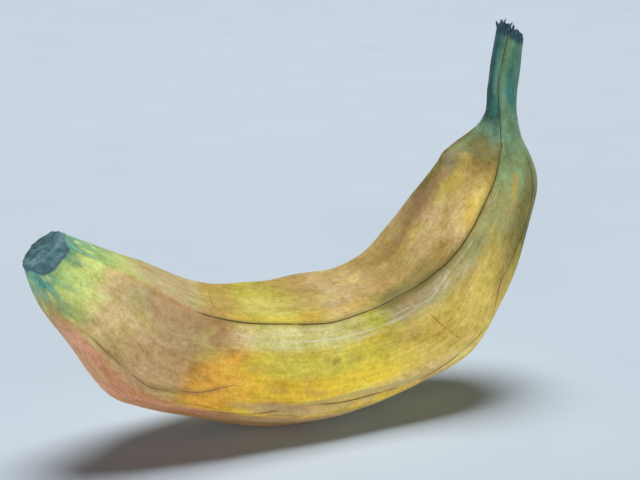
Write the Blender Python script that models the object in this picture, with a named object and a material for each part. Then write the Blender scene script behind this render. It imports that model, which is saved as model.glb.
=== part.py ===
"""One ripe banana, resting on its belly, as a single solid.

The fruit grew in one piece, so it is one object: a curved body with five ridges, the neck that
narrows into the stem, the stem with its torn end, and the blunt dry scar that the blossom left.
Lengths are in metres and +Z is up. The bend lies in the XZ plane: the blossom end is at -X, the
stem rises at +X, and both are held up by the outer curve of the body, which rests on the floor.
"""

import math
import random

import bmesh
import bpy
import numpy as np
from mathutils import Matrix, Vector

MM = 0.001

# The midline starts at the middle of the blossom scar. Each pair is a distance along it in mm,
# and how steeply it climbs there in degrees.
CLIMB = (
    (0, -56),
    (28, -41),
    (56, -25),
    (84, -4),
    (112, 18),
    (140, 42),
    (168, 63),
    (190, 84),
    (220, 81),
)
# Distance along the midline and depth of the fruit to its outer side, both in mm.
OUTER_DEPTH = (
    (0, 7.4),
    (10, 10.9),
    (26, 14.6),
    (36, 19.0),
    (41, 20.7),
    (47, 20.3),
    (58, 19.2),
    (80, 20.4),
    (100, 21.5),
    (120, 22.5),
    (133, 25.2),
    (146, 21.2),
    (166, 15.4),
    (180, 13.4),
    (190, 6.5),
    (197, 4.7),
    (206, 4.8),
    (220, 4.2),
)
# Distance along the midline and depth of the fruit to its inner side, both in mm.
INNER_DEPTH = (
    (0, 5.9),
    (10, 10.7),
    (26, 14.9),
    (50, 17.6),
    (80, 21.2),
    (104, 21.0),
    (116, 18.7),
    (126, 17.6),
    (146, 19.0),
    (164, 18.6),
    (176, 17.2),
    (183, 15.4),
    (189, 8.1),
    (194, 4.6),
    (204, 4.5),
    (220, 4.0),
)
# Distance along the midline and half the width of the fruit, both in mm.
HALF_WIDTH = (
    (0, 6.8),
    (24, 13.6),
    (50, 17.9),
    (90, 20.6),
    (140, 20.2),
    (170, 16.2),
    (184, 11.6),
    (192, 6.8),
    (200, 4.4),
    (220, 4.0),
)

# The five ridges, as angles round the midline: 0 is the outer side of the bend and 90 faces -Y.
RIDGES_AT_TIP = (-158, -86, -18, 54, 134)
RIDGES_AT_MIDDLE = (-158, -87, -14, 64, 134)
RIDGES_AT_STEM = (-176, -106, -32, 44, 116)
MIDDLE = 100 * MM
TWIST_FROM = 128 * MM
TWIST_TO = 182 * MM
RIDGE_HEIGHT = 0.25 * MM

# A squareness of 2 is a circle, and a larger one a sharper pentagon.
BODY_SQUARENESS = 10.0
TIP_SQUARENESS = 3.5
STEM_SQUARENESS = 7.0
BELLY_SQUARENESS = 4.0

# The mesh: steps round each of the five faces, and rings along the midline.
STEPS_PER_FACE = 8
RING_STEP = 4 * MM
FINE_RING_STEP = 2 * MM
FINE_ENDS = 14 * MM
NECK_FROM = 180 * MM

# Both ends are slanted, and the slant dies away over this length.
SLANT_LENGTH = 10 * MM

# Blossom scar: its outer side is drawn back a little, so it faces lower than the midline points.
TIP_SLANT = 0.6 * MM
# Rings of the scar from its rim to its middle, as a share of the rim's radius, and how far
# each stands out past the rim in mm. Its middle rises a little above the last ring.
SCAR_RINGS = ((0.97, 0.3), (0.86, 0.6), (0.66, 0.4), (0.40, 0.1), (0.18, 0.4))
POLE_RISE = 0.2 * MM
SCAR_BAND = 2.5 * MM

# Stem end: longer on its inner side, with torn fibres standing on it.
STEM_SLANT = 1.7 * MM
CUT_RINGS = ((0.7, 0.4),)
FIBRE_COUNT = 14
FIBRE_SIDES = 5
FIBRE_RADIUS = (0.55 * MM, 0.85 * MM)
FIBRE_LENGTH = (1.2 * MM, 3.2 * MM)
FIBRE_ROOT = 1.6 * MM
FIBRE_LEAN = 22.0
FIBRE_SEED = 7
TORN_BAND = 5 * MM

# Green reaches this far from either end of the skin.
GREEN_TIP = 9 * MM
GREEN_NECK = 186 * MM

# The outer curve is flattened by this much where the fruit rests.
REST_TRIM = 1.8 * MM

BANANA_YELLOW = (0.72, 0.47, 0.10, 1.0)
STEM_GREEN = (0.20, 0.30, 0.16, 1.0)
SCAR_BROWN = (0.03, 0.045, 0.05, 1.0)


def clear_scene():
    for item in list(bpy.data.objects):
        bpy.data.objects.remove(item, do_unlink=True)


def new_collection(name):
    collection = bpy.data.collections.new(name)
    bpy.context.scene.collection.children.link(collection)
    return collection


def new_material(name, colour, roughness):
    material = bpy.data.materials.new(name)
    material.use_nodes = True
    shader = material.node_tree.nodes["Principled BSDF"]
    shader.inputs["Base Color"].default_value = colour
    shader.inputs["Roughness"].default_value = roughness
    shader.inputs["Metallic"].default_value = 0.0
    return material


def smooth_curve(pairs, at):
    """A cubic through the pairs, with the mean slope of its two neighbours at each of them."""
    known, values = np.array(pairs, dtype=float).T
    slopes = np.gradient(values, known)
    left = np.clip(np.searchsorted(known, at, side="right") - 1, 0, len(known) - 2)
    gap = known[left + 1] - known[left]
    t = (at - known[left]) / gap
    return (
        values[left] * (1 + 2 * t) * (1 - t) ** 2
        + values[left + 1] * t**2 * (3 - 2 * t)
        + gap * slopes[left] * t * (1 - t) ** 2
        - gap * slopes[left + 1] * t**2 * (1 - t)
    )


def depth_at(pairs, distances):
    """A table of millimetres read at distances in metres, in metres."""
    return smooth_curve(pairs, distances / MM) * MM


def ease(low, high, at):
    """0 below low, 1 above high and a smooth step between them."""
    t = np.clip((at - low) / (high - low), 0, 1)
    return t * t * (3 - 2 * t)


def ring_distances():
    """Where the rings lie along the midline: closer together at the tip, neck and stem."""
    length = CLIMB[-1][0] * MM
    fine_tip = np.arange(0, FINE_ENDS, FINE_RING_STEP)
    body = np.arange(FINE_ENDS, NECK_FROM, RING_STEP)
    stem_steps = round((length - NECK_FROM) / FINE_RING_STEP)
    return np.concatenate([fine_tip, body, np.linspace(NECK_FROM, length, stem_steps + 1)])


def midline(distances):
    """Middle point, tangent and outward normal at each distance, all in the XZ plane."""
    fine = np.linspace(0, CLIMB[-1][0] * MM, 2000)
    climb = np.radians(smooth_curve(CLIMB, fine / MM))
    between = (climb[1:] + climb[:-1]) / 2
    step = fine[1] - fine[0]
    run = np.concatenate([[0], np.cumsum(np.cos(between)) * step])
    rise = np.concatenate([[0], np.cumsum(np.sin(between)) * step])
    angle = np.interp(distances, fine, climb)
    zero = np.zeros_like(distances)
    middle = np.stack([np.interp(distances, fine, run), zero, np.interp(distances, fine, rise)], 1)
    tangent = np.stack([np.cos(angle), zero, np.sin(angle)], 1)
    outward = np.stack([np.sin(angle), zero, -np.cos(angle)], 1)
    return middle, tangent, outward


def ridge_angles(distances):
    """Angles of the five ridges on each ring, with the first one repeated a full turn on."""
    tip, middle, stem = np.radians([RIDGES_AT_TIP, RIDGES_AT_MIDDLE, RIDGES_AT_STEM])
    to_middle = ease(0, MIDDLE, distances)[:, None]
    to_stem = ease(TWIST_FROM, TWIST_TO, distances)[:, None]
    ridges = tip + (middle - tip) * to_middle + (stem - middle) * to_stem
    return np.concatenate([ridges, ridges[:, :1] + 2 * math.pi], axis=1)


def ring_angles(ridges):
    """Angles of the points on each ring, evenly spaced from each ridge to the next."""
    share = np.arange(STEPS_PER_FACE) / STEPS_PER_FACE
    start, end = ridges[:, :-1, None], ridges[:, 1:, None]
    return (start + (end - start) * share).reshape(len(ridges), -1)


def section_shape(angles, ridges, squareness):
    """Radius of a rounded pentagon at each angle, as a share of its mean radius.

    Each side is a straight line from ridge to ridge, and the powers blend the five into one
    curve. The belly is blended more, so its ridge is a soft one.
    """
    belly = ((1 + np.cos(angles)) / 2) ** 4
    power = squareness[:, None]
    power = power + (np.minimum(power, BELLY_SQUARENESS) - power) * belly
    side_middle = (ridges[:, None, 1:] + ridges[:, None, :-1]) / 2
    side_half = (ridges[:, None, 1:] - ridges[:, None, :-1]) / 2
    reach = np.maximum(np.cos(angles[..., None] - side_middle) / np.cos(side_half), 1e-6)
    radius = (reach ** power[..., None]).sum(axis=2) ** (-1 / power)
    return radius / radius.mean(axis=1, keepdims=True)


def skin_rings():
    """The rings of the skin, as an array of ring, place on the ring and coordinate."""
    distances = ring_distances()
    outer = depth_at(OUTER_DEPTH, distances)
    inner = depth_at(INNER_DEPTH, distances)
    half_depth = (outer + inner)[:, None] / 2
    half_width = depth_at(HALF_WIDTH, distances)[:, None]
    squareness = TIP_SQUARENESS + (BODY_SQUARENESS - TIP_SQUARENESS) * ease(0, 30 * MM, distances)
    squareness += (STEM_SQUARENESS - BODY_SQUARENESS) * ease(NECK_FROM, 200 * MM, distances)

    ridges = ridge_angles(distances)
    angles = ring_angles(ridges)
    shape = section_shape(angles, ridges, squareness)
    on_ridge = np.arange(angles.shape[1]) % STEPS_PER_FACE == 0
    shape = shape + on_ridge * RIDGE_HEIGHT / half_depth.max()

    middle, tangent, outward = midline(distances)
    middle = middle + outward * (outer - inner)[:, None] / 2
    side = np.array([0.0, -1.0, 0.0])
    deep = (shape * half_depth * np.cos(angles))[..., None] * outward[:, None, :]
    wide = (shape * half_width * np.sin(angles))[..., None] * side
    slant = TIP_SLANT * ease(SLANT_LENGTH, 0, distances)
    slant -= STEM_SLANT * ease(distances[-1] - SLANT_LENGTH, distances[-1], distances)
    along = (slant[:, None] * np.cos(angles))[..., None] * tangent[:, None, :]
    return middle[:, None, :] + deep + wide + along, distances


def closing_rings(rim, outward, rings):
    """Rings that close an end: the rim drawn in to its middle and moved outward."""
    centre = rim.mean(axis=0)
    return [centre + (rim - centre) * share + outward * height * MM for share, height in rings]


def loft(rings, start_pole, end_pole):
    """A closed bmesh over rings of equal count, with a fan of triangles at either end."""
    mesh = bmesh.new()
    loops = [[mesh.verts.new(point) for point in ring] for ring in rings]
    count = len(loops[0])
    for lower, upper in zip(loops[:-1], loops[1:]):
        for k in range(count):
            following = (k + 1) % count
            mesh.faces.new((lower[k], upper[k], upper[following], lower[following]))
    for loop, pole in ((loops[0], start_pole), (loops[-1], end_pole)):
        apex = mesh.verts.new(pole)
        for k in range(count):
            mesh.faces.new((loop[k], loop[(k + 1) % count], apex))
    bmesh.ops.recalc_face_normals(mesh, faces=mesh.faces)
    return mesh


def rest_offset(rings):
    """The move that centres the rings over the origin and sinks the belly by the trim."""
    low = rings.min(axis=(0, 1))
    high = rings.max(axis=(0, 1))
    centre = (low + high) / 2
    return np.array([-centre[0], -centre[1], -low[2] - REST_TRIM])


def finish_band(distance):
    """Which material a ring has: 2 on the dry ends, 1 on the green ones and 0 between them."""
    length = CLIMB[-1][0] * MM
    if distance < SCAR_BAND or distance > length - TORN_BAND:
        return 2
    if distance < GREEN_TIP or distance > GREEN_NECK:
        return 1
    return 0


def paint_bands(body, distances, count):
    """Give each strip of faces the material of the ring it starts from, and both caps the last."""
    body.faces.ensure_lookup_table()
    for index, face in enumerate(body.faces):
        ring = index // count
        face.material_index = finish_band(distances[ring]) if ring < len(distances) else 2
        face.smooth = True


def cut_at_floor(body):
    """Take away what lies under z = 0 and close the cut with one flat face."""
    cut = bmesh.ops.bisect_plane(
        body,
        geom=body.verts[:] + body.edges[:] + body.faces[:],
        plane_co=(0, 0, 0),
        plane_no=(0, 0, -1),
        clear_outer=True,
    )
    rim = [part for part in cut["geom_cut"] if isinstance(part, bmesh.types.BMEdge)]
    bmesh.ops.contextual_create(body, geom=rim)
    bmesh.ops.recalc_face_normals(body, faces=body.faces)


def build_body(collection, materials):
    """The whole skin with both ends closed, cut flat where it rests."""
    skin, distances = skin_rings()
    tip_way = -midline(distances[:1])[1][0]
    stem_way = midline(distances[-1:])[1][0]
    scar = closing_rings(skin[0], tip_way, SCAR_RINGS)[::-1]
    cut = closing_rings(skin[-1], stem_way, CUT_RINGS)
    rings = np.concatenate([scar, skin, cut])
    rings += rest_offset(rings)
    distances = np.concatenate([[0] * len(scar), distances, [distances[-1]] * (len(cut) - 1)])

    scar_pole = rings[0].mean(axis=0) + tip_way * POLE_RISE
    cut_pole = rings[-1].mean(axis=0) + stem_way * POLE_RISE
    body = loft(rings, scar_pole, cut_pole)
    paint_bands(body, distances, rings.shape[1])
    cut_at_floor(body)

    mesh = bpy.data.meshes.new("banana")
    body.to_mesh(mesh)
    body.free()
    for material in materials:
        mesh.materials.append(material)
    banana = bpy.data.objects.new("banana", mesh)
    collection.objects.link(banana)
    return banana, rings[-1 - len(cut)], stem_way


def build_fibres(collection, stem_rim, stem_way, material):
    """Tapered strands standing on the cut end of the stem, most of them round its edge."""
    draw = random.Random(FIBRE_SEED)
    centre = Vector(stem_rim.mean(axis=0))
    for index in range(FIBRE_COUNT):
        on_edge = index % 3 != 2
        turn = 2 * math.pi * index / FIBRE_COUNT + draw.uniform(-0.12, 0.12)
        share = draw.uniform(0.72, 0.84) if on_edge else draw.uniform(0.15, 0.45)
        place = round(turn / (2 * math.pi) * len(stem_rim)) % len(stem_rim)
        foot = centre.lerp(Vector(stem_rim[place]), share)
        lean = Matrix.Rotation(
            math.radians(draw.uniform(-FIBRE_LEAN, FIBRE_LEAN)),
            3,
            Vector((draw.uniform(-1, 1), draw.uniform(-1, 1), 0.2)).normalized(),
        )
        way = lean @ Vector(stem_way)
        length = draw.uniform(*FIBRE_LENGTH) + FIBRE_ROOT
        radius = draw.uniform(*FIBRE_RADIUS)
        strand = bmesh.new()
        bmesh.ops.create_cone(
            strand,
            cap_ends=True,
            segments=FIBRE_SIDES,
            radius1=radius,
            radius2=radius * 0.25,
            depth=length,
        )
        turned = way.to_track_quat("Z", "Y").to_matrix().to_4x4()
        middle = foot + way * (length / 2 - FIBRE_ROOT)
        strand.transform(Matrix.Translation(middle) @ turned)
        mesh = bpy.data.meshes.new(f"fibre_{index}")
        strand.to_mesh(mesh)
        strand.free()
        mesh.materials.append(material)
        fibre = bpy.data.objects.new(f"fibre_{index}", mesh)
        collection.objects.link(fibre)
        fibre.hide_render = True
        fibre.display_type = "WIRE"


def fuse(target, collection):
    """Join every object of a collection to the target, then drop them."""
    union = target.modifiers.new("torn_fibres", "BOOLEAN")
    union.operation = "UNION"
    union.operand_type = "COLLECTION"
    union.collection = collection
    union.solver = "EXACT"
    union.material_mode = "TRANSFER"
    graph = bpy.context.evaluated_depsgraph_get()
    fused = bpy.data.meshes.new_from_object(target.evaluated_get(graph))
    target.modifiers.remove(union)
    target.data = fused
    fused.name = "banana"
    for item in list(collection.objects):
        bpy.data.objects.remove(item, do_unlink=True)
    bpy.data.collections.remove(collection)


def main():
    clear_scene()
    parts = new_collection("banana")
    strands = new_collection("cutters")
    materials = (
        new_material("ripe_skin", BANANA_YELLOW, 0.45),
        new_material("green_ends", STEM_GREEN, 0.5),
        new_material("dry_scar", SCAR_BROWN, 0.9),
    )
    banana, stem_rim, stem_way = build_body(parts, materials)
    build_fibres(strands, stem_rim, stem_way, materials[2])
    fuse(banana, strands)


main()
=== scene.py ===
"""The looks of one ripe banana: its ridged skin with the dry blossom scar, and its torn stem.

The skin is one surface over the distance along the fruit's midline and the angle round it. Its
sizes are in millimetres and degrees, with angle 0 on the outer side of the bend and 90 facing -Y.
The scene is in metres with +Z up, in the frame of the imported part.
"""

import math

import bpy
import numpy as np
from bpy.props import FloatProperty, FloatVectorProperty, IntProperty, PointerProperty
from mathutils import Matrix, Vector


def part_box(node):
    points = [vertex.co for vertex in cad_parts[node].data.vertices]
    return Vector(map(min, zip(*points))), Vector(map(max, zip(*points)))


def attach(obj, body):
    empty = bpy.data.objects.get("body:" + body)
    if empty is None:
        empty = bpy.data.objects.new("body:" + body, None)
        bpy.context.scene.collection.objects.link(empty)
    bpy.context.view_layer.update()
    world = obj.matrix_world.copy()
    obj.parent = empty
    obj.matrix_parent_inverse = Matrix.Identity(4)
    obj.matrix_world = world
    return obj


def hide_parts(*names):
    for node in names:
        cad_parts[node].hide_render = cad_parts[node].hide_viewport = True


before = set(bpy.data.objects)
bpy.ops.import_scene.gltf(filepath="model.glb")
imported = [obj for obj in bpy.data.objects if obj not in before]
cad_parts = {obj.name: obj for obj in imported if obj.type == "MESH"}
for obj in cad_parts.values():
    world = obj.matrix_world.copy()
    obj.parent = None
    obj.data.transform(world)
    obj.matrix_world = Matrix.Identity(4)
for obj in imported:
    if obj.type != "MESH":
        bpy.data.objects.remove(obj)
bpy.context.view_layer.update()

bl_info = {
    "name": "Ripe banana",
    "version": (1, 0, 0),
    "blender": (4, 5, 0),
    "location": "View3D > Sidebar > Banana",
    "description": "Grows the skin, scar and torn stem of one ripe banana and sets its stage",
    "category": "Add Mesh",
}

MM = 0.001
NODE = "banana"
BODY = "root"

# Distance along the midline, and how steeply it climbs there.
CLIMB = (
    (0, -56), (28, -41), (56, -25), (84, -4), (112, 18), (140, 42), (168, 63), (190, 84), (220, 81),
)
LENGTH = CLIMB[-1][0]
# Distance along the midline, and depth of the fruit to its outer side.
OUTER_DEPTH = (
    (0, 7.4), (10, 10.9), (26, 14.6), (36, 19.0), (41, 20.7), (47, 20.3), (58, 19.2), (80, 20.4),
    (100, 21.5), (120, 22.5), (133, 25.2), (146, 21.2), (166, 15.4), (180, 13.4), (190, 6.5),
    (197, 4.7), (206, 4.8), (220, 4.2),
)
# Distance along the midline, and depth of the fruit to its inner side.
INNER_DEPTH = (
    (0, 5.9), (10, 10.7), (26, 14.9), (50, 17.6), (80, 21.2), (104, 21.0), (116, 18.7), (126, 17.6),
    (146, 19.0), (164, 18.6), (176, 17.2), (183, 15.4), (189, 8.1), (194, 4.6), (204, 4.5),
    (220, 4.0),
)
# Distance along the midline, and half the width of the fruit.
HALF_WIDTH = (
    (0, 6.8), (24, 13.6), (50, 17.9), (90, 20.6), (140, 20.2), (170, 16.2), (184, 11.6), (192, 6.8),
    (200, 4.4), (220, 4.0),
)

# Angles of the five ridges. The last but one is the lower ridge, and the last the upper one.
RIDGES_AT_TIP = (-158, -86, -18, 54, 134)
RIDGES_AT_MIDDLE = (-158, -87, -14, 64, 134)
RIDGES_AT_STEM = (-176, -106, -32, 44, 116)
MIDDLE = 100
TWIST_FROM = 128
TWIST_TO = 182
LOWER_RIDGE = 3
UPPER_RIDGE = 4

# Lines on the skin, as distances along and angles round. The first is the upper ridge as it shows,
# which becomes the crease of the stem.
RIDGE_LINE = (
    (0, 131), (24, 132), (41, 133), (59, 134), (77, 133), (95, 131), (106, 133), (115, 135),
    (124, 136), (133, 133), (144, 126), (157, 121), (168, 118), (177, 114), (184, 111), (189, 116),
    (193, 127), (197, 137), (205, 139), (212, 137), (220, 131),
)
LINES_ALONG = {
    "lower_line": ((14, 53), (25, 56), (35, 60), (42, 63), (48, 68), (53, 71), (57, 76), (61, 82)),
    "belly_line": (
        (56, 48), (60, 54), (67, 60), (73, 65), (84, 71), (93, 70), (105, 69), (114, 65), (124, 67),
        (130, 69), (143, 64), (150, 69), (156, 65), (165, 57), (186, 57),
    ),
    # The next line carries a painted highlight just under the upper ridge.
    "pale_line": (
        (50, 128), (54, 127), (66, 122), (80, 121), (110, 120), (124, 124), (137, 122), (175, 107),
    ),
    # The next line carries a painted highlight beside the lower ridge.
    "soft_line": ((71, 70), (78, 70), (87, 73), (98, 74), (110, 70), (119, 67)),
}
# Scratches across the skin, as angles round and distances along.
LINES_ACROSS = {
    "first_scratch": ((136, 53), (148, 51), (180, 53)),
    "second_scratch": ((79, 131), (98, 129), (111, 128)),
}

# A squareness of 2 is a circle, and a larger one a sharper pentagon. The tip's gives way to the
# body's by TIP_ENDS, and the body's to the stem's along the neck.
BODY_SQUARENESS = 10.0
TIP_SQUARENESS = 3.5
STEM_SQUARENESS = 7.0
BELLY_SQUARENESS = 4.0
TIP_ENDS = 30
NECK_FROM = 180
NECK_TO = 200

# The ends: over what length and how far each is slanted, and the profile of its cap as pairs of
# share of the rim's radius and height over the rim. Then how far the belly sinks in under the
# ground, where it is cut flat, and how softly the flat spot begins.
SLANT_LENGTH = 10
TIP_SLANT = 0.6
STEM_SLANT = 1.7
SCAR_PROFILE = ((0, 0.6), (0.18, 0.4), (0.40, 0.1), (0.66, 0.4), (0.86, 0.6), (0.97, 0.3), (1, 0))
CUT_PROFILE = ((0, 0.6), (0.35, 0.5), (0.7, 0.4), (1, 0))
REST_TRIM = 1.8
REST_EDGE = 0.15

# The grid: points from ridge to ridge, rings per millimetre, rings on each cap, and samples of the
# running sums that place the rings and the midline.
STEPS_PER_FACE = 45
BODY_RINGS = 1.3
END_RINGS = 2.3
SCAR_RINGS = 28
CUT_RINGS = 12
RING_SAMPLES = 4000
MIDLINE_SAMPLES = 2000

# Waves of the surface: stretch on each axis, shortest and longest wavelength, count, seed, height.
WAVES = {
    "slow": ((0.6, 1, 1), 16, 42, 20, 3, 1.0),
    "quick": ((0.4, 1, 1), 3.5, 9, 26, 5, 0.22),
    "crest": ((1, 0.2, 0.2), 14, 40, 8, 11, 0.35),
    "stem": ((0.25, 1, 1), 1.2, 3, 20, 17, 0.10),
    "tip": ((1, 1, 1), 1.2, 3.2, 24, 23, 0.16),
    "tear": ((0.2, 1, 1), 1.6, 3.4, 16, 29, 1.0),
    "scar_creases": ((1, 1, 1), 0.16, 0.6, 22, 31, 0.22),
    "scar_lumps": ((1, 1, 1), 0.22, 0.7, 22, 37, 0.16),
    "cut_lumps": ((1, 1, 1), 0.16, 0.6, 30, 41, 0.5),
}
# Distances over which relief comes in or goes: the body's at the tip, the rough tip's, the flutes'
# on the neck, and where the stem's takes over from the body's. Then the count of the flutes, the
# half width of the stem's crease and the length of the torn rim.
BODY_RELIEF = (0, 12)
ROUGH_TIP = (3.2, 0.6)
NECK_RELIEF = (176, 190)
STEM_RELIEF = (184, 196)
FLUTES = 11
CREASE_WIDTH = 0.55
TEAR_LENGTH = 3.5

# Soft hollows in the skin: distance along, angle round, reach and depth. The stretch makes them
# longer along the fruit than round it.
DENT_STRETCH = (0.7, 1, 1)
DENTS = (
    (30, 96, 9, 0.35), (53, 160, 8, 0.40), (66, 100, 10, 0.25), (98, 172, 12, 0.35),
    (121, 92, 9, 0.30), (148, 150, 9, 0.35), (160, 84, 8, 0.30), (44, -50, 10, 0.40),
    (84, -120, 12, 0.40), (128, -62, 10, 0.35), (156, -128, 9, 0.35),
)

# Colours of the skin, from its dry scar to its torn stem.
TINTS = {
    "slate": ("Paler parts of the dry blossom scar", (0.135, 0.245, 0.262)),
    "deep_slate": ("Darker parts of the dry ends", (0.048, 0.118, 0.138)),
    "indigo": ("Torn end of the stem", (0.035, 0.06, 0.09)),
    "deep_teal": ("Inner side of the stem", (0.022, 0.085, 0.09)),
    "teal": ("Brightest green of the stem", (0.032, 0.228, 0.195)),
    "spruce": ("Dull green of the neck", (0.084, 0.182, 0.15)),
    # Fern also paints a highlight near the top of the stem.
    "fern": ("Khaki green of the stem", (0.175, 0.315, 0.19)),
    "mint": ("Cool green round the scar", (0.2, 0.43, 0.27)),
    # Leaf also paints a highlight near the top of the stem.
    "leaf": ("Unripe green of the neck", (0.32, 0.43, 0.185)),
    "lime": ("Yellow-green near the scar", (0.405, 0.605, 0.19)),
    "lemon": ("Palest yellow-green", (0.665, 0.735, 0.215)),
    "straw": ("Greenish yellow", (0.65, 0.6, 0.085)),
    # Cream is also laid as the pale band under the upper ridge, a painted highlight.
    "cream": ("Pale skin under the upper ridge", (0.74, 0.645, 0.215)),
    "peach": ("Pale orange tan", (0.77, 0.553, 0.245)),
    "tan": ("Pale tan of the inner side", (0.63, 0.5, 0.235)),
    "rose": ("Rosy tan of the inner side", (0.61, 0.44, 0.195)),
    "clay": ("Brownish tan near the blossom end", (0.615, 0.39, 0.182)),
    "sienna": ("Darker clay", (0.545, 0.325, 0.145)),
    "coral": ("Reddish tan of the outer side", (0.785, 0.358, 0.188)),
    # Rust also paints shade on the underside of the belly.
    "rust": ("Bruised brown", (0.48, 0.25, 0.085)),
    "amber": ("Deep orange brown", (0.64, 0.335, 0.055)),
    "orange": ("Orange ripe skin", (0.86, 0.425, 0.05)),
    "gold": ("Golden ripe skin", (0.81, 0.51, 0.034)),
    "yellow": ("Brightest ripe skin", (0.875, 0.61, 0.045)),
    "mustard": ("Dull yellow of the raised half", (0.77, 0.56, 0.12)),
    "ochre": ("Brownish yellow", (0.58, 0.415, 0.085)),
    "bronze": ("Warm brown", (0.43, 0.295, 0.085)),
    "sage": ("Dull green of the neck's sides", (0.215, 0.285, 0.115)),
    "moss": ("Yellow-brown green before the neck", (0.4, 0.365, 0.115)),
    # Plum also paints a soft band of shade along the lower line.
    "plum": ("Dark purplish brown of the inner edge", (0.27, 0.165, 0.085)),
    # Olive also paints shade over the upper ridge in the inner bend.
    "olive": ("Dark olive along the edges", (0.18, 0.155, 0.035)),
    "mauve": ("Greyed skin beside the ridges", (0.47, 0.37, 0.17)),
    # A painted highlight: the pale line under the upper ridge.
    "ivory": ("Pale line under the upper ridge", (0.92, 0.87, 0.66)),
    # A painted highlight: the pale streaks under the upper ridge.
    "chalk": ("Pale fibres under the upper ridge", (0.84, 0.79, 0.6)),
    "umber": ("Dark ridge lines and scratches", (0.055, 0.034, 0.004)),
}
# How the colour runs along the four lanes of the skin: tint, and the distance or distances where it
# is pure. The top lane lies above the upper ridge, the band just under it, the front between the
# ridges and the last below both.
LANES = {
    "top": (
        ("mint", 0, 4), ("lime", 11), ("lemon", 19), ("tan", 29, 44), ("ochre", 51, 58),
        ("straw", 66, 76), ("ochre", 87), ("rose", 98, 110), ("bronze", 122, 145), ("rose", 154),
        ("ochre", 166, 174), ("bronze", 179), ("olive", 184, 187), ("fern", 191),
        ("spruce", 195, 220),
    ),
    # The band's cream stretch is pale skin laid as a painted highlight under the upper ridge.
    "band": (
        ("fern", 0), ("lime", 3), ("lemon", 7, 12), ("peach", 16), ("tan", 24), ("sienna", 33, 47),
        ("rust", 53), ("peach", 58), ("cream", 66, 102), ("straw", 110), ("mauve", 117, 131),
        ("tan", 141), ("moss", 151, 172), ("leaf", 178), ("sage", 184), ("fern", 193, 220),
    ),
    "front": (
        ("fern", 0), ("lime", 4), ("lemon", 9, 13), ("peach", 18, 26), ("clay", 34, 46),
        ("amber", 50), ("orange", 57), ("gold", 64, 82), ("yellow", 96, 108), ("mustard", 120, 146),
        ("ochre", 156), ("moss", 163, 171), ("leaf", 178), ("sage", 185), ("fern", 193),
        ("teal", 200, 220),
    ),
    "under": (
        ("fern", 0), ("mint", 4), ("moss", 9), ("bronze", 13), ("sienna", 16), ("coral", 22, 58),
        ("clay", 68, 86), ("tan", 102), ("mustard", 118), ("ochre", 140), ("bronze", 152),
        ("olive", 164, 177), ("fern", 184), ("spruce", 192, 220),
    ),
}
# Distances past a ridge over which the under lane, the band and the top lane come in, and over
# which the first and the last go again on the hidden side.
UNDER_IN = (0.5, -3.0)
UNDER_OUT = (-38, -28)
BAND_IN = (-9.5, -4.5)
BAND_OUT = (1.0, 0.0)
TOP_IN = (-0.5, 0.6)
TOP_OUT = (58, 46)
# How far noise moves the edges between lanes. Near the upper ridge the front lane starts later.
EDGE_DRIFT = 5.0
FRONT_LEAN = (-12, -1, 6.5)
# The top lane's factor at the tip, and from where to where it rises by how much.
TOP_SHADE = 0.735
TOP_RISE = (88, 120, 0.185)
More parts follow.
